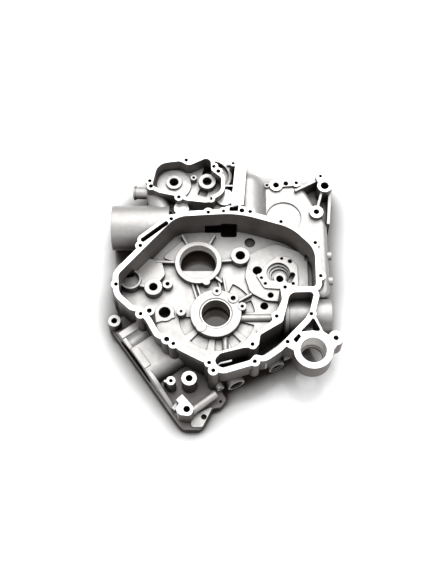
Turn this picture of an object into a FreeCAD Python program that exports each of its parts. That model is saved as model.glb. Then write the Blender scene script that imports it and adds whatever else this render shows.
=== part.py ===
# Crankcase half of a large motorcycle engine, clutch side, as a bare casting with its main bearing bush.
# Units are millimetres. The origin is on the crank axis in the middle of the main bearing. +Z points from the
# split face to the clutch cover, +X to the ring boss and +Y to the water pump. The part lies on its split face.
# Every level below is given above the split face, and the finished shapes are lowered by ORIGIN_Z.
import FreeCAD, Part
import math
import os
from FreeCAD import Vector

# Levels above the split face
ORIGIN_Z = 19.0
COVER_Z = 80.0
PUMP_Z = 74.0
DOME_Z = 50.0
ARCH_Z = 40.0
LUG_Z = 49.0
RING_BOSS_BOTTOM_Z = 44.0
BOSS_Z = 34.0
PUMP_FLOOR_Z = 48.0
PUMP_PLATE_Z = 28.0
WEB_Z = 22.0
POCKET_Z = 18.0
SPLIT_RIM_Z = 14.0

# Walls
RIM = 9.0
RIM_DEPTH = 14.0
SUMP_STEP_Z = 42.0
WALL = 6.0
WEB = 6.0
CUT_OVER = 2.0

# Screws, dowels and their bosses
SCREW_R = 2.9
SCREW_DEPTH = 20.0
COVER_BOSS_R = 8.0
PUMP_BOSS_R = 7.0
DOWEL_DEPTH = 10.0
PUMP_DOWEL_R = 3.3

# Main bearing
BUSH_BORE_R = 22.5
BUSH_WALL = 2.0
BUSH_SHOULDER = 0.8
BUSH_FLOOR_Z = 6.0
CRANK_BOSS_R = 39.7
CRANK_CHAMBER_R = 70.0
BORE_CHAMFER = 1.5

# Gearbox shaft bearing
SHAFT_X = -28.0
SHAFT_Y = 88.0
SHAFT_BORE_R = 29.7
SHAFT_RING_R = 37.0
SHAFT_SEAT_Z = 20.0
SHAFT_SHELF = 9.0
SHAFT_SHOULDER = 1.5

# Round pocket at the left end of the clutch chamber
POCKET_XY = (-134.0, 56.5)
POCKET_R = 13.5
POCKET_TOP_Z = 38.0
POCKET_FLOOR_Z = 27.0

# Ring boss that takes the engine mount
RING_X = 144.0
RING_Y = -79.0
RING_BORE_R = 19.5
RING_R = 29.5
RING_LIP = 3.0
RING_LIP_T = 6.0

# Oil filter spigot
SPIGOT_Y = 146.0
SPIGOT_Z = 40.0
SPIGOT_R = 36.0
SPIGOT_BORE_R = 31.0
SPIGOT_END_X = -165.0
SPIGOT_DEPTH = 48.0

# Cylinder deck
DECK_LEFT = Vector(-157.0, -23.5, 0)
DECK_RIGHT = Vector(-50.0, -174.0, 0)
DECK_WALL = 6.0
DECK_LAND = 11.0
DECK_LAND_STEP = 1.5
THROAT_MIDDLE = 60.0
THROAT_HALF = 50.0
THROAT_RISE = 31.0

# Cover flange: inner edges of the two chambers, corner by corner with their radii
CLUTCH_CHAMBER = [
    (-149, 45, 14), (-62, 145, 40), (35, 151, 150), (118, 125, 70), (153, 88, 40), (152, 24, 5),
    (97, 25, 6), (100, 2, 20), (83, -33, 8), (36, -72, 20), (-2, -84, 12), (-14, -91, 8),
    (-50, -72, 10), (-66, -57, 6), (-84, -52, 8), (-97, -28, 10), (-112, -10, 8), (-125, -7, 8),
    (-147, 14, 20),
]
SUMP_CHAMBER = [
    (149, 15, 5), (112, 14, 12), (107, -8, 10), (100, -34, 8), (66, -55, 6), (63, -74, 7),
    (40, -76, 12), (6, -85, 8), (-4, -97, 8), (8, -108, 10), (50, -95, 8), (57, -86, 6), (70, -89, 12),
    (92, -73, 20), (134, -28, 8), (141, -16, 8),
]
SUMP_LOW = [
    (149, 15, 5), (112, 14, 12), (107, -8, 10), (100, -34, 8), (66, -52, 6), (62, -68, 7),
    (40, -72, 12), (6, -80, 5), (0, -86, 4), (8, -93, 5), (50, -81, 8), (57, -74, 6), (70, -74, 12),
    (90, -60, 20), (132, -24, 8), (141, -12, 8),
]
PUMP_CHAMBER = [
    (-102, 205, 6), (-94, 246, 22), (-58, 251, 10), (-44, 242, 12), (-9, 260, 8), (-7, 233, 8),
    (9, 220, 8), (8, 196, 14), (-14, 180, 8), (-46, 184, 15), (-62, 192, 10), (-88, 198, 12),
]

# Cover screws on the outer flange, then on the partition, and the dowels and other holes with radius and depth
OUTER_SCREWS = [
    (-152, 28), (-117, 94), (-70, 141), (-12, 153), (54, 154), (102, 136), (154, 99), (160, 42),
    (143, -21), (-4, -111), (-63, -69), (-113, -21),
]
FRONT_SCREWS = [(106, -66), (57, -97)]
INNER_SCREWS = [(105, 23), (91, -25), (54, -70)]
COVER_SCREWS = OUTER_SCREWS + FRONT_SCREWS + INNER_SCREWS
COVER_DOWELS = [(41, 156, 3.8), (12, 155, 2.6), (-73, -62, 3.9), (-10, -99, 2.9), (-100, -16, 3.8)]
PUMP_SCREWS = [(-48, 253), (-106, 214), (-59, 184), (-8, 181), (-3, 241)]
PUMP_DOWELS = [(-104, 204), (4, 232)]

# Outline of the split face
SPLIT_OUTLINE = [
    (-164, 52, 20), (-160, 24, 12), (-136, 2, 6), (-160, 0, 9), (-169, -8, 9), (-160, -26, 8), (-55, -175, 8),
    (-48, -181, 6), (-22, -181, 8), (-5, -148, 6), (8, -146, 6), (16, -134, 5), (4, -112, 5), (32, -97, 30),
    (96, -62, 20), (126, -36, 10), (176, -36, 8), (181, 140, 20), (192, 200, 20), (188, 240, 12),
    (150, 236, 10), (90, 234, 20), (62, 256, 20), (-52, 264, 20), (-112, 240, 24), (-116, 186, 10),
    (-112, 110, 10), (-160, 86, 16),
]


def outline(corners, z):
    """Closed wire through (x, y, radius) corners at height z, each corner rounded by a tangent arc."""
    count = len(corners)
    turns = []
    for i, (x, y, radius) in enumerate(corners):
        here = Vector(x, y, z)
        back = (Vector(*corners[i - 1][:2], z) - here).normalize()
        ahead = (Vector(*corners[(i + 1) % count][:2], z) - here).normalize()
        half = back.getAngle(ahead) / 2
        reach = radius / math.tan(half)
        middle = (back + ahead).normalize() * (radius / math.sin(half) - radius)
        turns.append((here + back * reach, here + middle, here + ahead * reach))
    edges = []
    for i, (start, middle, end) in enumerate(turns):
        edges.append(Part.Arc(start, middle, end).toShape())
        edges.append(Part.LineSegment(end, turns[(i + 1) % count][0]).toShape())
    return Part.Wire(edges)


def slab(corners, low, high):
    """Plate with a rounded outline between two levels."""
    return Part.Face(outline(corners, low)).extrude(Vector(0, 0, high - low))


def grown(corners, distance, low, high):
    """Plate whose outline lies a distance outside the given one."""
    face = Part.Face(outline(corners, low)).makeOffset2D(distance)
    return face.extrude(Vector(0, 0, high - low))


def post(x, y, radius, low, high):
    """Upright cylinder."""
    return Part.makeCylinder(radius, high - low, Vector(x, y, low))


def rod(start, end, radius):
    """Cylinder between two points."""
    along = end - start
    return Part.makeCylinder(radius, along.Length, start, along)


def rib(start, end, width, low, high):
    """Upright straight rib between two points in plan."""
    along = Vector(end[0] - start[0], end[1] - start[1], 0)
    box = Part.makeBox(along.Length, width, high - low, Vector(0, -width / 2, low))
    box.rotate(Vector(), Vector(0, 0, 1), math.degrees(math.atan2(along.y, along.x)))
    box.translate(Vector(start[0], start[1], 0))
    return box


def slot(start, end, radius, low, high):
    """Upright round-ended slot."""
    body = rib(start, end, 2 * radius, low, high)
    return join([body, post(*start, radius, low, high), post(*end, radius, low, high)])


def ring(x, y, inner, outer, low, high):
    """Upright tube."""
    return post(x, y, outer, low, high).cut(post(x, y, inner, low - 1, high + 1))


def sector(x, y, inner, outer, low, high, start, end):
    """Part of an upright tube between two angles in degrees."""
    body = Part.makeCylinder(outer, high - low, Vector(), Vector(0, 0, 1), end - start)
    body = body.cut(Part.makeCylinder(inner, high - low, Vector()))
    body.rotate(Vector(), Vector(0, 0, 1), start)
    body.translate(Vector(x, y, low))
    return body


def join(shapes):
    """One solid from many."""
    return shapes[0].multiFuse(shapes[1:]) if len(shapes) > 1 else shapes[0]


def deck_frame():
    """Direction along the deck, and the direction out of it."""
    along = (DECK_RIGHT - DECK_LEFT).normalize()
    return along, Vector(along.y, -along.x, 0)


def split_rim():
    """Flange round the split face."""
    return slab(SPLIT_OUTLINE, 0, SPLIT_RIM_Z)


def clutch_walls():
    """Walls of the clutch chamber and the sump, with a column at each cover screw."""
    walls = [grown(chamber, RIM, COVER_Z - RIM_DEPTH, COVER_Z) for chamber in (CLUTCH_CHAMBER, SUMP_CHAMBER)]
    walls += [grown(CLUTCH_CHAMBER, WALL, 0, COVER_Z), grown(SUMP_CHAMBER, WALL, SUMP_STEP_Z - WALL, COVER_Z),
              grown(SUMP_LOW, WALL, 0, SUMP_STEP_Z)]
    walls += [post(x, y, COVER_BOSS_R, 0, COVER_Z) for x, y in OUTER_SCREWS]
    walls += [post(x, y, COVER_BOSS_R, SUMP_STEP_Z - WALL, COVER_Z) for x, y in FRONT_SCREWS]
    walls += [post(x, y, r + 4.5, WEB_Z, COVER_Z) for x, y, r in COVER_DOWELS]
    walls.append(slot((-112, 104), (-78, 133), 10, 0, COVER_Z))
    walls.append(slot((20, 157), (36, 158), 7.5, WEB_Z, COVER_Z))
    walls.append(post(*POCKET_XY, POCKET_R + WALL + 4, 0, 56))
    return join(walls)


def pump_walls():
    """Walls of the water pump housing with its bosses."""
    walls = [grown(PUMP_CHAMBER, 6.5, 0, PUMP_Z)]
    walls += [post(x, y, PUMP_BOSS_R, 0, PUMP_Z) for x, y in PUMP_SCREWS]
    walls += [post(x, y, PUMP_BOSS_R, 30, PUMP_Z) for x, y in PUMP_DOWELS]
    return join(walls)


def gearbox_dome():
    """Rounded cover of the gearbox with its recessed disc."""
    body = slab([(50, 140, 6), (62, 224, 14), (140, 222, 14), (158, 190, 14), (178, 150, 14), (178, 20, 14),
                 (140, 20, 14)], 0, DOME_Z)
    top = [e for e in body.Edges if e.BoundBox.ZMin > DOME_Z - 0.01]
    body = body.makeFillet(9, top)
    return body.cut(post(109, 160, 28, DOME_Z - 2.5, DOME_Z + 1))


def bridge():
    """Middle of the back: the low block, the round shaft tunnel, the long pad and the arched wall."""
    low = slab([(-20, 150, 6), (-20, 252, 12), (60, 252, 12), (70, 150, 6)], 0, 52)
    tunnel = rod(Vector(52, 150, 42), Vector(52, 212, 42), 30)
    end = Part.makeSphere(30, Vector(52, 212, 42))
    end = end.common(Part.makeBox(80, 80, 80, Vector(10, 170, 0)))
    pad = slab([(24, 166, 1.5), (32, 250, 1.5), (51, 250, 1.5), (44, 166, 1.5)], 40, COVER_Z)
    pad_boss = post(28, 243, 5.5, 40, COVER_Z)
    disc = post(14, 193, 15, 40, 58)
    arch = sector(-6, 232, 27, 32, 40, 60, -50, 84)
    ties = [rib((12, 212), (28, 212), 3, 40, 62), rib((18, 250), (30, 252), 3, 40, 64)]
    return join([low, tunnel, end, pad, pad_boss, disc, arch] + ties)


def left_shoulder():
    """Body between the spigot, the pump and the clutch chamber, with the filter spigot and the hose spigot."""
    body = slab([(-110, 118, 8), (-110, 206, 8), (-10, 206, 8), (-10, 140, 8), (-70, 140, 8)], 0, 44)
    top = [e for e in body.Edges if e.BoundBox.ZMin > 43.99]
    body = body.makeFillet(7, top)
    spigot = rod(Vector(SPIGOT_END_X, SPIGOT_Y, SPIGOT_Z), Vector(-74, SPIGOT_Y, SPIGOT_Z), SPIGOT_R)
    hose = rod(Vector(-133, 211, 40), Vector(-96, 208, 44), 10)
    lip = rod(Vector(-133, 211, 40), Vector(-130, 210.8, 40.3), 11.5)
    pad = post(-55, 170, 12, 30, 62)
    ridge = rod(Vector(-98, 206, 42), Vector(-84, 158, 54), 16)
    parts = [body, spigot, hose, lip, pad, ridge]
    return join(parts).common(Part.makeBox(500, 500, 200, Vector(-250, -250, 0)))


def on_deck(along_by, back_by, z=0.0):
    """Point given by its distance along the deck, its distance behind it and its height."""
    along, out = deck_frame()
    return DECK_LEFT + along * along_by - out * back_by + Vector(0, 0, z)


def deck_profile(points, depth):
    """Wall profile drawn on the deck as lines, or arcs given by a middle point, and pushed back from it."""
    edges = []
    here = on_deck(*points[0][:1], 0, points[0][1])
    for point in points[1:] + points[:1]:
        there = on_deck(point[0], 0, point[1])
        if len(point) == 4:
            edges.append(Part.Arc(here, on_deck(point[2], 0, point[3]), there).toShape())
        else:
            edges.append(Part.LineSegment(here, there).toShape())
        here = there
    return Part.Face(Part.Wire(edges)).extrude(deck_frame()[1] * -depth)


def arch():
    """Low body behind the cylinder deck: hollow saddle, flat crown, round shoulder and the deck's own wall."""
    low = SPLIT_RIM_Z - 2
    crown = deck_profile([
        (6, low), (10, 30), (13, 35), (24, 35), (47, ARCH_Z - 1, 36, 28), (86, ARCH_Z - 1),
        (110, low, 103, 32),
    ], 66)
    land = deck_profile([(50, 20), (50, ARCH_Z - 1 + DECK_LAND_STEP), (86, ARCH_Z - 1 + DECK_LAND_STEP),
                         (86, 20)], DECK_LAND)
    wall = deck_profile([(0, 0), (2, 18), (13, 35), (50, 30), (90, ARCH_Z - 2), (124, 31, 112, 37), (160, 17),
                         (182, 14), (182, 0)], DECK_WALL)
    return join([crown, land, wall])


def arch_bosses():
    """Columns and lugs of the lower left."""
    low = SPLIT_RIM_Z - 2
    lug = slab([(-50, -137, 1), (-59, -146, 1), (-54, -151, 2), (-60, -159, 2), (-54, -169, 8), (-36, -171, 8),
                (-32, -158, 8)], 0, LUG_Z)
    parts = [
        post(-157, -13, 10, 0, 34), post(-67, -116, 7, low, LUG_Z), post(-40, -112, 11.6, low, LUG_Z), lug,
        rod(Vector(-40, -160, 28), Vector(0, -130, 30), 6.5), rib((-56, -146), (-64, -154), 7, low, 30),
        rib((-62, -118), (-78, -112), 4, low, 38), post(7, -137, 6, 0, SPLIT_RIM_Z),
        slab([(-38, -178, 5), (-20, -178, 5), (-4, -145, 2), (-36, -160, 4)], 0, SPLIT_RIM_Z + 3),
    ]
    return join(parts)


def ring_boss():
    """Engine mount ring with its lug, and the webs that tie it to the flange."""
    low = RING_BOSS_BOTTOM_Z
    parts = [
        post(RING_X, RING_Y, RING_R, low, COVER_Z), post(178, -60, 11.6, low, COVER_Z),
        slab([(136, -22, 4), (146, -16, 4), (160, -50, 8), (184, -66, 8), (160, -96, 8), (122, -84, 6),
              (101, -72, 4), (104, -62, 4)], low, COVER_Z),
    ]
    body = join(parts)
    window = slab([(137, -29, 2), (147, -29, 2), (157, -50, 3), (143, -48, 8), (128, -50, 2), (124, -45, 2)],
                  low - 1, COVER_Z + 1)
    diamond = slab([(119, -49, 1.5), (126.5, -57.5, 1.5), (118.5, -68.5, 1.5), (112, -58.5, 1.5)], low - 1, COVER_Z + 1)
    return body.cut(join([window, diamond]))


def right_corner():
    """Low corner with the tall lug, the round boss and the thin webs between them, and the row of edge bosses."""
    low = slab([(120, 200, 6), (124, 232, 6), (166, 238, 8), (190, 232, 10), (190, 196, 8), (178, 150, 8),
                (150, 150, 8)], 0, 28)
    parts = [
        low, slot((176, 212), (170, 229), 8, 0, 62), post(176, 212, 12, 0, 62), post(161, 166, 11.3, 0, 58),
        rib((163, 174), (172, 206), 4, 20, 57), rib((166, 226), (128, 206), 4, 20, 57),
        rib((186, 212), (180, 148), 5, 0, 50), rib((150, 176), (136, 206), 4, 20, 50),
        post(98, 218, 11, 30, 54), post(131, 222, 7.5, 30, 54), rib((98, 219), (131, 222), 10, 30, 53.5),
        post(83, 218, 4.5, 30, 53.5), rod(Vector(168, 96, 40), Vector(183, 96, 40), 7),
        rod(Vector(168, 52, 40), Vector(183, 52, 40), 7),
    ]
    return join(parts)


def cross_tunnel():
    """Round tunnel that crosses the sump and ends in the right wall."""
    shell = rod(Vector(104, -4, 30), Vector(178, -4, 30), 27)
    collar = rod(Vector(106, -4, 30), Vector(112, -4, 30), 30)
    return join([shell, collar]).common(Part.makeBox(200, 200, 90, Vector(50, -100, 0)))


def chambers():
    """Everything hollow that opens upward."""
    parts = [
        slab(CLUTCH_CHAMBER, WEB_Z, COVER_Z + CUT_OVER), slab(SUMP_CHAMBER, SUMP_STEP_Z, COVER_Z + CUT_OVER),
        slab(SUMP_LOW, -1, SUMP_STEP_Z + 1),
        slab(PUMP_CHAMBER, PUMP_FLOOR_Z, PUMP_Z + CUT_OVER),
    ]
    return join(parts)


def front_ports():
    """Two oil ports on the front wall, each with its screw boss."""
    out = Vector(math.sin(math.radians(25)), -math.cos(math.radians(25)), 0)
    parts = []
    for face, radius in ((Vector(93, -84, 17), 13), (Vector(31, -112, 17), 14)):
        parts.append(rod(face - out * 24, face, radius))
    for face in (Vector(109, -73, 28), Vector(7, -122, 28)):
        parts.append(rod(face - out * 26, face, 6))
    return join(parts), out


def port_bores(out):
    """Bores of the front ports and their screws."""
    cuts = []
    for face in (Vector(93, -84, 17), Vector(31, -112, 17)):
        cuts.append(rod(face - out * 20, face + out, 7.8))
        cuts.append(rod(face - out * 2, face + out, 10.4))
    for face in (Vector(109, -73, 28), Vector(7, -122, 28)):
        cuts.append(rod(face - out * 16, face + out, 2.5))
    return cuts


def undersides():
    """Everything hollow that opens at the split face."""
    along, out = deck_frame()
    middle = DECK_LEFT + along * THROAT_MIDDLE
    radius = (THROAT_HALF ** 2 + THROAT_RISE ** 2) / (2 * THROAT_RISE)
    start = middle + out * 2 + Vector(0, 0, THROAT_RISE - radius)
    throat = rod(start, start - out * 105, radius)
    throat = throat.common(Part.makeBox(400, 400, 60, Vector(-250, -250, -1)))
    throat = throat.cut(grown(CLUTCH_CHAMBER, RIM, POCKET_Z - WEB, COVER_Z))
    gearbox = slab([(-140, 44, 10), (-60, 134, 12), (128, 120, 30), (144, 88, 12), (144, 30, 8), (78, 30, 10),
                    (60, 52, 10), (0, 80, 60), (-64, 50, 10), (-84, 20, 8), (-128, 4, 10)], -1, WEB_Z - WEB)
    dome = slab([(66, 172, 6), (70, 216, 8), (134, 214, 8), (150, 186, 8), (171, 146, 8), (171, 112, 3),
                 (164, 112, 3), (120, 150, 16)], -1, DOME_Z - WALL)
    back = slab([(-96, 168, 8), (-96, 236, 16), (-50, 252, 10), (50, 244, 10), (56, 168, 8)], -1, 38)
    crank = post(0, 0, CRANK_CHAMBER_R, -1, POCKET_Z - WEB)
    crank = crank.cut(post(0, 0, BUSH_BORE_R + BUSH_WALL + WALL, BUSH_FLOOR_Z - 3, POCKET_Z))
    return [throat, gearbox, dome, back, crank]


def web_bosses():
    """Bearing rings, bosses, ribs and galleries that stand on the chamber floor."""
    top = BOSS_Z
    low = POCKET_Z - 2
    shaft = Vector(SHAFT_X, SHAFT_Y, 0)
    parts = [
        post(0, 0, CRANK_BOSS_R, low, top), post(SHAFT_X, SHAFT_Y, SHAFT_RING_R, low, top),
        post(-15, 54, 6, low, top), post(39, 99, 15, low, top + 2), post(-98, 43, 14, low, top + 4),
        post(-76, 50, 8, low, top), post(-54, 3, 7.5, low, top), post(1.6, 36.7, 7.3, low, top + 2),
        post(27, 24.5, 8.2, low, top + 2), post(41, 11, 6.8, low, top + 1), post(-22.7, -23.3, 8.2, low, top + 0.8),
        post(-80, 5, 15, low, WEB_Z + 3), rib((-112, -10), (-66, 4), 16, low, WEB_Z + 3),
        post(*POCKET_XY, POCKET_R + 3.5, low, POCKET_TOP_Z), sector(0, 0, 61.5, 69, low, WEB_Z + 3, -72, -22),
        rod(Vector(14, -36, WEB_Z - 1), Vector(15, -62, WEB_Z - 1), 5),
    ]
    for angle, reach in ((178, 30), (118, 20), (62, 20), (5, 40), (-42, 14)):
        tip = shaft + Vector(math.cos(math.radians(angle)), math.sin(math.radians(angle)), 0) * (SHAFT_RING_R + reach)
        parts.append(rib((shaft.x, shaft.y), (tip.x, tip.y), 3.5, low, top - 2))
    for start, end in (((-38, 56), (-30, 28)), ((-31, 54), (-24, 32)), ((5, 56), (9, 34)), ((12, 66), (17, 34))):
        parts.append(rib(start, end, 3, low, WEB_Z + 6))
    parts += [
        rib((33, 20), (56, 34), 3.5, low, top - 2), rib((39, 99), (72, 106), 5, low, top - 6),
        rib((-98, 43), (-124, 50), 5, low, top), rod(Vector(30, -4, WEB_Z), Vector(86, -4, WEB_Z), 6.5),
        slab([(-126, 74, 6), (-107, 96, 8), (-86, 90, 10), (-80, 68, 8), (-90, 54, 6), (-118, 50, 6)], low, WEB_Z + 9),
        slab([(-54, 130, 4), (-86, 100, 4), (-64, 92, 2), (-40, 118, 2)], low, WEB_Z + 4),
    ]
    return join(parts)


def web_pockets():
    """Recessed sectors between the ribs round the crank boss."""
    cuts = []
    for start, end in ((-178, -146), (-134, -104), (-92, -76), (-66, -48), (-38, -14), (6, 26), (36, 64)):
        reach = 61.5 if start > -60 else 58
        cuts.append(sector(0, 0, CRANK_BOSS_R, reach, POCKET_Z, WEB_Z + 1, start, end))
    return join(cuts)


def oil_pump_plate():
    """Raised plate of the oil pump with a rounded left side, and the higher pad round its pocket."""
    plate = slab([(46, 66, 24), (55, 108, 26), (96, 124, 20), (146, 104, 8), (146, 42, 6), (104, 22, 8),
                  (78, 24, 20), (54, 38, 16)], POCKET_Z, PUMP_PLATE_Z)
    pad = slab([(64, 66, 5), (76, 44, 7), (104, 42, 6), (130, 44, 8), (130, 84, 8), (116, 99, 8),
                (98, 101, 6), (78, 84, 12)], POCKET_Z, PUMP_PLATE_Z + 3)
    return join([plate, pad])


def oil_pump_cuts():
    """Pocket of the oil pump with its steps down the far side, and its kidney port."""
    top = PUMP_PLATE_Z + 4
    steps = [post(99, 70, 18.5, PUMP_PLATE_Z - 2, top), post(100, 69, 16, PUMP_PLATE_Z - 6, top),
             post(101, 68, 13.5, PUMP_PLATE_Z - 10, top)]
    kidney = slot((116, 57), (121, 67), 4.5, PUMP_PLATE_Z - 9, top)
    far_side = Part.makeBox(60, 60, 60, Vector(70, 57, 0))
    return join([join(steps).common(far_side), kidney]).cut(post(101, 61, 9.5, 10, 50))


def floor_holes():
    """Holes in the chamber floor as (x, y, radius, bottom)."""
    return [
        (66, 76, 7.4, -1), (86, 33, 4.7, -1), (76, 17, 6.2, -1), (105, 96, 2.5, 16), (118, 91, 3.4, 22),
        (72, 62, 2.5, 16), (78, 52, 2.5, 16), (122, 52, 2.5, 16), (101, 60, 5.7, 14), (39, 99, 7.6, 14),
        (55, 129, 8.5, 14), (-98, 43, 6.7, 14), (-76, 50, 3.2, 14), (-80, 5, 9.2, -1), (-54, 3, 2.2, 16),
        (1.6, 36.7, 2.5, 14), (27, 24.5, 4.0, 14), (41, 11, 2.5, 14), (-55, -58, 6.5, -1),
    ]


def other_holes():
    """Holes outside the chamber as (x, y, radius, bottom, top)."""
    return [
        (-157, -13, 4.5, -1, 40), (-67, -116, 2.8, 30, LUG_Z), (-40, -112, 5.1, 20, LUG_Z),
        (-43, -160, 4.9, 20, LUG_Z), (-18, -162, 4.2, 8, 30), (178, -60, 3.8, 40, COVER_Z),
        (98, 218, 5, 30, 54), (114, 221, 3.8, 38, 54), (131, 222, 3, 38, 54), (83, 218, 2.5, 40, 54),
        (176, 212, 6.5, -1, 62), (170, 230, 2.5, 40, 62), (161, 166, 4.5, 30, 58), (28, 243, 2.5, 60, COVER_Z),
    ]


def pump_inside():
    """Volute floor, the shaft boss, the pump boss and the small post inside the water pump housing."""
    low = PUMP_FLOOR_Z - 2
    parts = [
        post(-68, 220, 28, low, PUMP_FLOOR_Z + 3).common(slab(PUMP_CHAMBER, 38, 60)),
        post(-68, 223, 13, low, PUMP_FLOOR_Z + 7), post(-14, 222, 14, low, PUMP_FLOOR_Z + 11),
        post(-36, 229, 5, low, PUMP_FLOOR_Z + 11),
    ]
    return join(parts)


def inner_columns():
    """Screw columns that stand inside the clutch chamber along the partition and the lower left."""
    places = [(105, 23), (91, -25), (54, -70), (-100, -16), (-73, -61)]
    return join([post(x, y, COVER_BOSS_R, WEB_Z - 2, COVER_Z) for x, y in places])


def seats():
    """Bearing seats, the engine mount bore and the bores of the two spigots and the tunnel."""
    seat = BUSH_BORE_R + BUSH_WALL
    return [
        post(0, 0, seat, BUSH_FLOOR_Z, BOSS_Z + 1), post(0, 0, BUSH_BORE_R + BUSH_SHOULDER, -1, BOSS_Z),
        Part.makeCone(seat, seat + BORE_CHAMFER, BORE_CHAMFER, Vector(0, 0, BOSS_Z - BORE_CHAMFER)),
        post(SHAFT_X, SHAFT_Y, SHAFT_BORE_R, SHAFT_SEAT_Z, BOSS_Z + 1),
        post(SHAFT_X, SHAFT_Y, SHAFT_BORE_R - SHAFT_SHOULDER, 10, BOSS_Z).common(
            Part.makeBox(100, 60, 60, Vector(SHAFT_X - 50, SHAFT_Y - SHAFT_SHELF, 0))),
        rod(Vector(SPIGOT_END_X - 1, SPIGOT_Y, SPIGOT_Z),
            Vector(SPIGOT_END_X + SPIGOT_DEPTH, SPIGOT_Y, SPIGOT_Z), SPIGOT_BORE_R),
        rod(Vector(-136, 211.2, 39.8), Vector(-108, 209, 42.5), 8.5),
        rod(Vector(103, -4, 30), Vector(180, -4, 30), 22),
        post(RING_X, RING_Y, RING_BORE_R, RING_BOSS_BOTTOM_Z + RING_LIP_T, COVER_Z + 1),
        post(RING_X, RING_Y, RING_BORE_R - RING_LIP, RING_BOSS_BOTTOM_Z - 1, COVER_Z),
    ]


def windows():
    """Slots and passages: two in the flange, those in the chamber walls, the round pocket and those of the pump."""
    return [
        slot((-113, 104), (-78, 133), 3.7, 20, COVER_Z + 1),
        slab([(21, 155, 1.5), (22, 162, 1.5), (36, 165, 1.5), (35, 155, 1.5)], 60, COVER_Z + 1),
        slab([(-18, 144, 1), (-18, 172, 4), (12, 172, 4), (12, 144, 1)], WEB_Z + 1, 44),
        slab([(-18, 147, 1), (-18, 172, 4), (12, 172, 4), (12, 147, 1)], 4, 44),
        slab([(8, 139, 4), (8, 172, 4), (34, 172, 4), (34, 139, 4)], 4, 48),
        post(*POCKET_XY, POCKET_R, POCKET_FLOOR_Z, POCKET_TOP_Z + 12),
        slot((-140, 66), (-132, 68), 2.5, -1, 30),
        slab([(141, 94, 1), (143, 105, 1), (158, 104, 1), (158, 92, 1)], WEB_Z + 4, 40),
        post(-68, 223, 7.4, -1, 60), post(-14, 222, 7.4, 40, 60), post(-36, 229, 2.3, 50, 60),
        slab([(-23, 240, 2), (-19, 255, 2), (-8, 258, 2), (-8, 240, 2)], 30, PUMP_FLOOR_Z + 3),
        slot((2, 228), (1, 236), 3, 30, PUMP_FLOOR_Z + 3), post(7, -137, 2.0, -1, 20),
        slab([(-26, 214, 2), (-12, 209, 2), (-15, 199, 2), (-30, 203, 2)], PUMP_FLOOR_Z - 5, PUMP_FLOOR_Z + 5),
    ]


def screw_holes():
    """Every round hole of the two cover faces, the chamber floor and the outside."""
    cuts = [post(x, y, r, bottom, 45) for x, y, r, bottom in floor_holes()]
    cuts += [post(x, y, r, bottom, top + 1) for x, y, r, bottom, top in other_holes()]
    cuts += [post(x, y, SCREW_R, COVER_Z - SCREW_DEPTH, COVER_Z + 1) for x, y in COVER_SCREWS]
    cuts += [post(x, y, r, COVER_Z - DOWEL_DEPTH, COVER_Z + 1) for x, y, r in COVER_DOWELS]
    cuts += [post(x, y, SCREW_R, PUMP_Z - SCREW_DEPTH, PUMP_Z + 1) for x, y in PUMP_SCREWS]
    cuts += [post(x, y, PUMP_DOWEL_R, PUMP_Z - DOWEL_DEPTH, PUMP_Z + 1) for x, y in PUMP_DOWELS]
    return cuts


def solid_body():
    """The casting before its floor cavities and holes are cut."""
    ports, out = front_ports()
    body = join([
        split_rim(), clutch_walls(), pump_walls(), gearbox_dome(), bridge(), left_shoulder(), arch(),
        arch_bosses(), ring_boss(), right_corner(), ports,
    ]).cut(chambers())
    inside = join([web_bosses(), oil_pump_plate()]).common(slab(CLUTCH_CHAMBER, 0, COVER_Z))
    return join([body, inside, cross_tunnel(), pump_inside(), inner_columns()])


def casting():
    """The whole casting."""
    ports, out = front_ports()
    cuts = undersides() + port_bores(out) + [web_pockets(), oil_pump_cuts()] + seats() + windows() + screw_holes()
    return solid_body().cut(cuts)


def bush():
    """Steel bush of the main bearing, pressed in against the shoulder of its seat."""
    tube = ring(0, 0, BUSH_BORE_R, BUSH_BORE_R + BUSH_WALL, BUSH_FLOOR_Z, BOSS_Z - BORE_CHAMFER)
    return tube


def main():
    os.makedirs("parts", exist_ok=True)
    for name, shape in (("crankcase_casting", casting()), ("main_bearing_bush", bush())):
        shape.translate(Vector(0, 0, -ORIGIN_Z))
        shape.exportStep(f"parts/{name}.step")
        print(name, len(shape.Solids), "solids", round(shape.Volume), "mm3", shape.isValid())


main()
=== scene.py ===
# %% [markdown]
# # Crankcase half in cast aluminium
# The object is one die-cast half of a motorcycle engine's crankcase. It lies on its split face and shows
# its clutch side. A casting like this gets its look from two finishes on one piece of metal: the pale,
# slightly grainy skin of the die and the bright faces that a cutter has made flat. The walls that were drawn
# out of the die carry painted shade, darker the steeper they are. The shapes come from the imported CAD model,
# and these cells dress them.

# %% Load the frame
import math
from types import SimpleNamespace

import bmesh
import bpy
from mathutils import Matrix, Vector


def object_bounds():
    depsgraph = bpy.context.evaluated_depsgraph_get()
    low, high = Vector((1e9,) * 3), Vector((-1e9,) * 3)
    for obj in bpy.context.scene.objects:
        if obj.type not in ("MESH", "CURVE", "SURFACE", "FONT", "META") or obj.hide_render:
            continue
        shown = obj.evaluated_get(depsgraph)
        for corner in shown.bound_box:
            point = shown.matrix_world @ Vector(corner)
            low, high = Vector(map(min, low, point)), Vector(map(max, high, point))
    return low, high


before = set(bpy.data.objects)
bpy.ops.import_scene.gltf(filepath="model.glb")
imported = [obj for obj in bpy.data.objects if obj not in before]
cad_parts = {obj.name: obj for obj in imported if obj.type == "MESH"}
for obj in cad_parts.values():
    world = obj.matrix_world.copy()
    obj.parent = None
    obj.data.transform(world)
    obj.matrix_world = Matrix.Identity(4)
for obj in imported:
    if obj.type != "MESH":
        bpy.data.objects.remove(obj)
cad_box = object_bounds()
scene = bpy.context.scene
SPLIT_FACE = cad_box[0][2]
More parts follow.
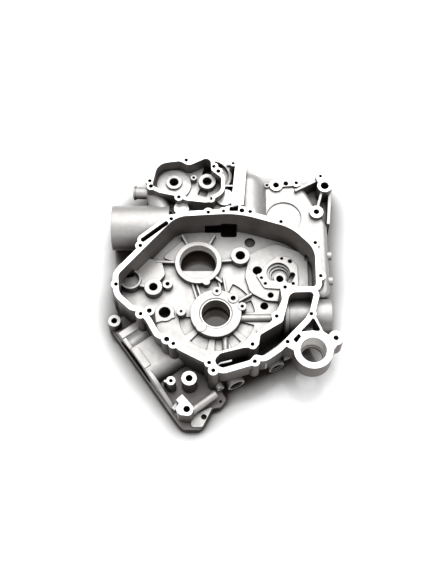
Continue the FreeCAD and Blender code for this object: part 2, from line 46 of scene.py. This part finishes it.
print("nodes:", sorted(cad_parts), "split face at", round(SPLIT_FACE, 4), "m")

# %% [markdown]
# ## Writing shader maths as maths
# A material is a graph of nodes. To place and join each Math node by hand is long and hard to read, so a small
# class wraps an output socket and overloads the usual operators. An expression such as `1 - mask * 0.5` then
# adds the nodes that it needs. Colours and vectors don't go through Math nodes, because these turn a
# colour grey: they have a Mix node and a Vector Math node of their own.

# %% Socket arithmetic
class Value:
    """An output socket that can be used in sums."""

    def __init__(self, graph, socket):
        self.graph = graph
        self.socket = socket

    def calc(self, operation, other=None, swap=False, clamp=False):
        first, second = (other, self) if swap else (self, other)
        inputs = {0: first} if second is None else {0: first, 1: second}
        return self.graph.add("ShaderNodeMath", {"operation": operation, "use_clamp": clamp}, inputs)

    def __add__(self, other):
        return self.calc("ADD", other)

    def __sub__(self, other):
        return self.calc("SUBTRACT", other)

    def __rsub__(self, other):
        return self.calc("SUBTRACT", other, swap=True)

    def __mul__(self, other):
        return self.calc("MULTIPLY", other)

    def __gt__(self, other):
        return self.calc("GREATER_THAN", other)

    def __lt__(self, other):
        return self.calc("LESS_THAN", other)

    def __abs__(self):
        return self.calc("ABSOLUTE")

    def clamped(self):
        return self.calc("ADD", 0.0, clamp=True)


# %% Graphs of nodes
class Graph:
    """The node graph of one material or of the world."""

    def __init__(self, tree):
        self.tree = tree
        tree.nodes.clear()

    def add(self, kind, settings=None, inputs=None, output=0):
        """Adds a node: its settings first, then the values or links of its sockets."""
        node = self.tree.nodes.new(kind)
        for name, value in (settings or {}).items():
            if name == "stops":
                set_stops(node.color_ramp, value)
            else:
                setattr(node, name, value)
        for name, value in (inputs or {}).items():
            if isinstance(value, Value):
                self.tree.links.new(value.socket, node.inputs[name])
            else:
                node.inputs[name].default_value = value
        return Value(self, node.outputs[output]) if len(node.outputs) else node

    def part_of(self, vector, axis):
        """One coordinate of a vector."""
        return self.add("ShaderNodeSeparateXYZ", {}, {"Vector": vector}, output=axis)

    def dot(self, first, second):
        """How far two directions agree, 1 when they are the same."""
        return self.add("ShaderNodeVectorMath", {"operation": "DOT_PRODUCT"}, {0: first, 1: second}, output="Value")

    def mix(self, factor, first, second):
        """Blends two colours."""
        return self.add("ShaderNodeMix", {"data_type": "RGBA"}, {0: factor, 6: first, 7: second}, output=2)

    def noise(self, point, scale, detail=2.0, roughness=0.5):
        """Soft noise between 0 and 1."""
        return self.add("ShaderNodeTexNoise", {"noise_dimensions": "3D"},
                        {"Vector": point, "Scale": scale, "Detail": detail, "Roughness": roughness})

    def bump(self, height, distance, strength, normal):
        """Bends a normal by a height in metres."""
        return self.add("ShaderNodeBump", {}, {"Strength": strength, "Distance": distance,
                                               "Height": height, "Normal": normal})

    def rounded_normal(self, radius):
        """The normal with the shading of every edge rounded."""
        return self.add("ShaderNodeBevel", {"samples": 6}, {"Radius": radius})

    def openness(self, distance):
        """1 in the open, 0 where the part itself shuts a point in within this distance."""
        return self.add("ShaderNodeAmbientOcclusion", {"samples": 8, "only_local": True},
                        {"Distance": distance}, output="AO")


# %% Materials and colours
def set_stops(ramp, stops):
    """Gives a colour ramp its stops, each a place and a colour."""
    while len(ramp.elements) < len(stops):
        ramp.elements.new(0.5)
    for element, (place, colour) in zip(ramp.elements, stops):
        element.position = place
        element.color = (*colour, 1.0)


def new_material(name):
    """A material with an empty graph."""
    material = bpy.data.materials.new(name)
    material.use_nodes = True
    return material, Graph(material.node_tree)


def finish_material(graph, sockets):
    """Joins a principled shader with these sockets to the material's output."""
    shader = graph.add("ShaderNodeBsdfPrincipled", {}, sockets)
    graph.add("ShaderNodeOutputMaterial", {}, {"Surface": shader})


def rgb(red, green, blue):
    """A colour with full alpha."""
    return (red, green, blue, 1.0)


def slope_up(value, slope, start):
    """0 until slope times the value reaches start, then rises and stops at 1."""
    return (value * slope - start).clamped()


def any_of(masks):
    """The sum of the masks, which is at least 1 where any of them is 1."""
    total = masks[0]
    for mask in masks[1:]:
        total = total + mask
    return total


# %% [markdown]
# ## Die-cast aluminium
# One material has to tell the cast skin from the cut faces. On the real part a cutter only reaches flat faces
# at a few heights: the two cover rims, the bearing rings and the screw bosses. So the mask asks two things of
# each point: does the face look straight up, and is it at one of those heights above the split face? A few
# upright faces and three bores were cut too, and they are found by their distance from an axis or a plane. All
# of it comes from the object's own coordinates and normal, so the finish stays in place from every side.

# %% Where the cutter has been
# Heights above the split face in millimetres
CUT_HEIGHTS = (80.0, 74.0, 62.0, 58.0, 54.0, 49.0, 38.0, 36.0, 35.0, 34.8, 34.0, 31.0)
HEIGHT_MARGIN = 0.00015
FLAT = 0.995

# Bores that a boring bar has been through, as the axis (x, y) and the radius in millimetres
BORES = ((144.0, -79.0, 19.5), (-28.0, 88.0, 29.7), (0.0, 0.0, 24.5))
BORE_MARGIN = 0.8

# Upright faces that a cutter has been over, as the way out (x, y) and the distance from the crank axis:
# the two ports, their two screw bosses and the cylinder deck
UPRIGHT_CUTS = (
    (0.4226, -0.9063, 115.43), (0.4226, -0.9063, 114.61), (0.4226, -0.9063, 112.22),
    (0.4226, -0.9063, 113.53), (-0.8150, -0.5794, 141.57),
)
PLANE_MARGIN = 0.25


def cut_mask(height, upward):
    """1 on flat faces at the cutter's heights, 0 elsewhere."""
    levels = [abs(height - level / 1000) < HEIGHT_MARGIN for level in CUT_HEIGHTS]
    return (any_of(levels) * (upward > FLAT)).clamped()


def bore_mask(across, along):
    """1 on the walls of the machined bores, 0 elsewhere, from x and y in millimetres."""
    walls = []
    for x, y, radius in BORES:
        right, up = across - x, along - y
        walls.append(abs(right * right + up * up - radius * radius) < radius * BORE_MARGIN)
    return any_of(walls).clamped()


def upright_cut_mask(graph, across, along, normal):
    """1 on the machined upright faces, 0 elsewhere."""
    faces = []
    for x, y, distance in UPRIGHT_CUTS:
        facing = graph.dot(normal, (x, y, 0))
        faces.append((facing > FLAT) * (abs(across * x + along * y - distance) < PLANE_MARGIN))
    return any_of(faces).clamped()


print(len(CUT_HEIGHTS), "cut heights,", len(BORES), "bores,", len(UPRIGHT_CUTS), "upright faces")

# %% [markdown]
# ## What the shader knows about a point
# The look depends on a few facts: how high a point is, which way its face looks, whether it is cut, and how far
# the part shuts it in. A Bevel node rounds the shading at every edge, which gives the soft lines that a casting
# has along its ribs, and where the rounded normal leaves the true one there is an edge. Ambient occlusion at two
# distances finds the deep hollows and the tight corners.

# %% Survey of a point
ROUNDING = 0.0011
HOLLOW_REACH = 0.022
CORNER_REACH = 0.0032


def survey(graph):
    """The facts about a point, by name. Masks and openness run from 0 to 1."""
    point = graph.add("ShaderNodeTexCoord", output="Object")
    across, along = (graph.part_of(point, axis) * 1000 for axis in "XY")
    height = graph.part_of(point, "Z") - SPLIT_FACE
    normal = graph.add("ShaderNodeNewGeometry", output="True Normal")
    upward = graph.part_of(normal, "Z")
    upright = upright_cut_mask(graph, across, along, normal)
    rounded = graph.rounded_normal(ROUNDING)
    wall = (1 - abs(upward)).clamped()
    hollow = graph.openness(HOLLOW_REACH)
    return SimpleNamespace(
        point=point, height=height, upward=upward, upright=upright, rounded=rounded, wall=wall, hollow=hollow,
        corner=graph.openness(CORNER_REACH),
        cut=(cut_mask(height, upward) + upright).clamped(),
        # The bright bore colour fades where the part shuts the bore in, so the painted shade of the hollows shows
        # there.
        bored=bore_mask(across, along) * (wall > 0.9) * (hollow * 1.8).clamped(),
        edge=((1 - graph.dot(rounded, normal)) * 6.0).clamped(),
        blotch=graph.noise(point, 95.0, 4.0, 0.6),
    )


# %% [markdown]
# ## Colour in layers
# Each layer covers the one before it by a mask. The skin is cloudy and a little stained. Painted shade makes walls
# darker the steeper they are and darkest near the split face, as in the photograph; it also darkens the low flange
# and low flat faces, and makes hollows and corners nearly black. The cut faces come last, with a shaded copy of
# their colour low in the part and a thin line of painted shade along every edge.

# %% The casting's colour
SKIN_DULL, SKIN_PALE = rgb(0.43, 0.42, 0.41), rgb(0.58, 0.57, 0.56)
STAIN = rgb(0.32, 0.305, 0.295)
# Painted shade: the colours from the low flange to the tight corners stand in for shade on low faces, walls,
# hollows and corners.
SHADED_LOW_FLANGE = rgb(0.15, 0.14, 0.135)
SHADED_STEEP_WALL = rgb(0.12, 0.107, 0.10)
SHADED_LOW_WALL = rgb(0.030, 0.025, 0.022)
SHADED_HOLE_FLOOR = rgb(0.012, 0.010, 0.010)
SHADED_DEEP_HOLLOW = rgb(0.014, 0.011, 0.010)
SHADED_TIGHT_CORNER = rgb(0.06, 0.055, 0.052)
# The low cut colour is a shaded copy of the high one: painted shade on cut faces low in the part.
SHADED_LOW_CUT, HIGH_CUT = rgb(0.42, 0.41, 0.40), rgb(0.68, 0.675, 0.67)
BORED_WALL = rgb(0.82, 0.80, 0.78)
# Painted shade along the edges.
EDGE_SHADE_LINE = rgb(0.10, 0.095, 0.09)

# Heights that place the painted shade on the low flange and the low flat faces, and that split low cut faces from
# high ones.
FLANGE_TOP = 0.014
FLANGE_MARGIN = 0.001
HOLE_FLOORS_BELOW = 0.0125
HIGH_CUTS_ABOVE = 0.045


def cast_skin(graph, at):
    """The colour of the uncut metal and of the bores, with painted shade on walls, low faces, hollows and corners.
    """
    steep_shade = slope_up(at.wall, 1.5, 0.5)
    near_split = (1 - at.height * 20.0).clamped()
    level = at.upward > 0.5
    layers = (
        (slope_up(at.blotch, 2.0, 0.6) * 0.45, STAIN),
        # Painted shade on the flat faces at the low flange's height.
        (level * (abs(at.height - FLANGE_TOP) < FLANGE_MARGIN), SHADED_LOW_FLANGE),
        # Painted shade on steep walls, more the steeper they are.
        (steep_shade * 0.95, SHADED_STEEP_WALL),
        # Painted shade, near black, on steep walls close to the split face.
        (steep_shade * near_split * 1.2, SHADED_LOW_WALL),
        # Painted shade, near black, on flat faces low in the part.
        (level * (at.height < HOLE_FLOORS_BELOW), SHADED_HOLE_FLOOR),
        # Painted shade in deep hollows.
        (slope_up(1 - at.hollow, 1.9, 0.7) * 0.97, SHADED_DEEP_HOLLOW),
        # Painted shade in tight corners.
        (slope_up(1 - at.corner, 2.0, 0.35) * 0.85, SHADED_TIGHT_CORNER),
        (at.bored, BORED_WALL),
    )
    colour = graph.mix(graph.noise(at.point, 14.0, 3.0), SKIN_DULL, SKIN_PALE)
    for mask, layer in layers:
        colour = graph.mix(mask, colour, layer)
    return colour


def cast_colour(graph, at):
    """The skin, the cut faces over it, a shaded copy of the cut colour low in the part, and painted shade lines
    along the edges.
    """
    # Cut faces low in the part get a darker copy of the cut colour as painted shade.
    high = ((at.height > HIGH_CUTS_ABOVE) + at.upright).clamped()
    colour = graph.mix(at.cut, cast_skin(graph, at), graph.mix(high, SHADED_LOW_CUT, HIGH_CUT))
    # Painted shade: a dark line along every edge where the rounded normal leaves the true one.
    return graph.mix(at.edge * 0.55, colour, EDGE_SHADE_LINE)


# %% The casting's material
def cast_aluminium():
    """Cast skin on top, slightly rougher walls with painted shade, painted shade in hollows, and bright cut faces.
    """
    material, graph = new_material("cast_aluminium")
    at = survey(graph)
    uncut = 1 - at.cut
    grain = graph.noise(at.point, 1500.0, 2.0)
    lay = graph.add("ShaderNodeTexWave", {"wave_type": "RINGS", "rings_direction": "Z"},
                    {"Vector": at.point, "Scale": 260.0, "Distortion": 2.0, "Detail": 1.0}, output="Fac")
    cast_rough = (at.blotch - 0.5) * 0.22 + at.wall * 0.06 + 0.44
    cut_rough = lay * 0.05 + 0.27
    relief = graph.bump(grain * uncut + lay * at.cut * 0.25, 0.00010, 0.55, at.rounded)
    relief = graph.bump(at.blotch * uncut, 0.0007, 0.35, relief)
    finish_material(graph, {"Base Color": cast_colour(graph, at), "Metallic": 0.65,
                            "Roughness": cast_rough * uncut + at.cut * cut_rough, "Normal": relief})
    return material


# %% [markdown]
# ## The pressed bush
# The bush is a turned steel ring in the main bearing bore. It is darker than the casting, and its bore shows fine
# turning lines. Bands of a wave texture along the bore's axis give those without any geometry.

# %% The bush's material
def turned_steel():
    """Steel with fine turning lines round its axis."""
    material, graph = new_material("turned_steel")
    point = graph.add("ShaderNodeTexCoord", output="Object")
    lines = graph.add("ShaderNodeTexWave", {"wave_type": "BANDS", "bands_direction": "Z"},
                      {"Vector": point, "Scale": 420.0, "Distortion": 0.6, "Detail": 1.0}, output="Fac")
    stain = graph.noise(point, 120.0, 3.0)
    colour = graph.mix(stain, rgb(0.42, 0.40, 0.37), rgb(0.58, 0.56, 0.53))
    relief = graph.bump(lines, 0.00004, 0.5, graph.rounded_normal(0.0005))
    finish_material(graph, {"Base Color": colour, "Metallic": 1.0, "Roughness": stain * 0.12 + 0.24,
                            "Normal": relief})
    return material


# %% Put the finishes on
FINISHES = {"crankcase_casting": cast_aluminium(), "main_bearing_bush": turned_steel()}
for name, material in FINISHES.items():
    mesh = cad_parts[name].data
    mesh.materials.clear()
    mesh.materials.append(material)
    print(name, "faces", len(mesh.polygons), "finish", material.name)

# %% [markdown]
# ## A pale, glossy floor
# The part lies on a white sheet with a sheen, in which the front ports and the mount ring are mirrored. A smooth
# plane shows that. Close to the part its colour darkens as a painted shadow, as the sheet in the photograph does.

# %% Floor
FLOOR_GAP = 0.0003
SHEET, SHEET_SHADE = rgb(0.95, 0.95, 0.95), rgb(0.03, 0.022, 0.018)


def floor():
    """A wide pale sheet under the part."""
    shape = bmesh.new()
    bmesh.ops.create_grid(shape, x_segments=1, y_segments=1, size=4.0)
    mesh = bpy.data.meshes.new("floor")
    shape.to_mesh(mesh)
    shape.free()
    sheet = bpy.data.objects.new("floor", mesh)
    scene.collection.objects.link(sheet)
    sheet.location.z = SPLIT_FACE - FLOOR_GAP
    material, graph = new_material("pale_sheet")
    open_air = graph.add("ShaderNodeAmbientOcclusion", {"samples": 16}, {"Distance": 0.06}, output="AO")
    # Painted shadow: the sheet's colour darkens where the part shuts it in.
    colour = graph.mix(slope_up(open_air * open_air, 1.6, 0.35), SHEET_SHADE, SHEET)
    finish_material(graph, {"Base Color": colour, "Roughness": 0.12, "IOR": 1.5})
    mesh.materials.append(material)
    return sheet


print("floor at", round(floor().location.z, 4), "m")

# %% [markdown]
# ## Soft light from above
# The photograph has the light of a white studio: flat faces are white, and walls that face the viewer are dark.
# One large softbox hangs over the part and a little behind it, and a smaller one stands farther back. The sky is
# white overhead and dims toward the horizon, and steep walls mirror that dim part of it.

# %% Lights
def softbox(name, place, aim, width, height, power):
    """An area light that looks at a point."""
    light = bpy.data.lights.new(name, "AREA")
    light.shape = "RECTANGLE"
    light.size = width
    light.size_y = height
    light.energy = power
    lamp = bpy.data.objects.new(name, light)
    scene.collection.objects.link(lamp)
    lamp.location = place
    lamp.rotation_euler = (Vector(aim) - Vector(place)).to_track_quat("-Z", "Y").to_euler()
    print(name, power, "W")


MIDDLE = (0, 0.05, 0)
softbox("over_box", (0.1, 0.9, 2.4), MIDDLE, 2.4, 2.6, 48.0)
softbox("back_box", (0.6, 2.6, 2.2), MIDDLE, 1.6, 1.0, 20.0)

# %% Sky
HORIZON, LOW_SKY, HIGH_SKY = (0.10, 0.09, 0.085), (0.25, 0.24, 0.235), (1.0, 1.0, 1.0)
SKY_STRENGTH = 0.95


def sky():
    """White overhead, dim at the horizon."""
    world = bpy.data.worlds.new("studio")
    scene.world = world
    world.use_nodes = True
    graph = Graph(world.node_tree)
    direction = graph.add("ShaderNodeTexCoord", output="Generated")
    tone = graph.add("ShaderNodeValToRGB", {"stops": [(0.0, HORIZON), (0.2, LOW_SKY), (0.5, HIGH_SKY)]},
                     {"Fac": graph.part_of(direction, "Z").clamped()}, output="Color")
    light = graph.add("ShaderNodeBackground", {}, {"Color": tone, "Strength": SKY_STRENGTH})
    graph.add("ShaderNodeOutputWorld", {}, {"Surface": light})


sky()
print("sky", scene.world.name)

# %% [markdown]
# ## Camera
# The photograph looks down at about 65 degrees with a moderately long lens. The place and the lens were worked out
# from the screw holes of the cover rim, whose spacing is known in the model.

# %% Camera
VIEW_DOWN = 65.0
camera_data = bpy.data.cameras.new("camera")
camera_data.lens = 61.5
camera_data.sensor_width = 36.0
camera = bpy.data.objects.new("camera", camera_data)
scene.collection.objects.link(camera)
camera.location = (-0.0029, -0.6005, SPLIT_FACE + 1.4224)
camera.rotation_euler = (math.radians(90 - VIEW_DOWN), 0, 0)
scene.camera = camera
scene.view_settings.view_transform = "Standard"
print("camera looks down at", VIEW_DOWN, "degrees")
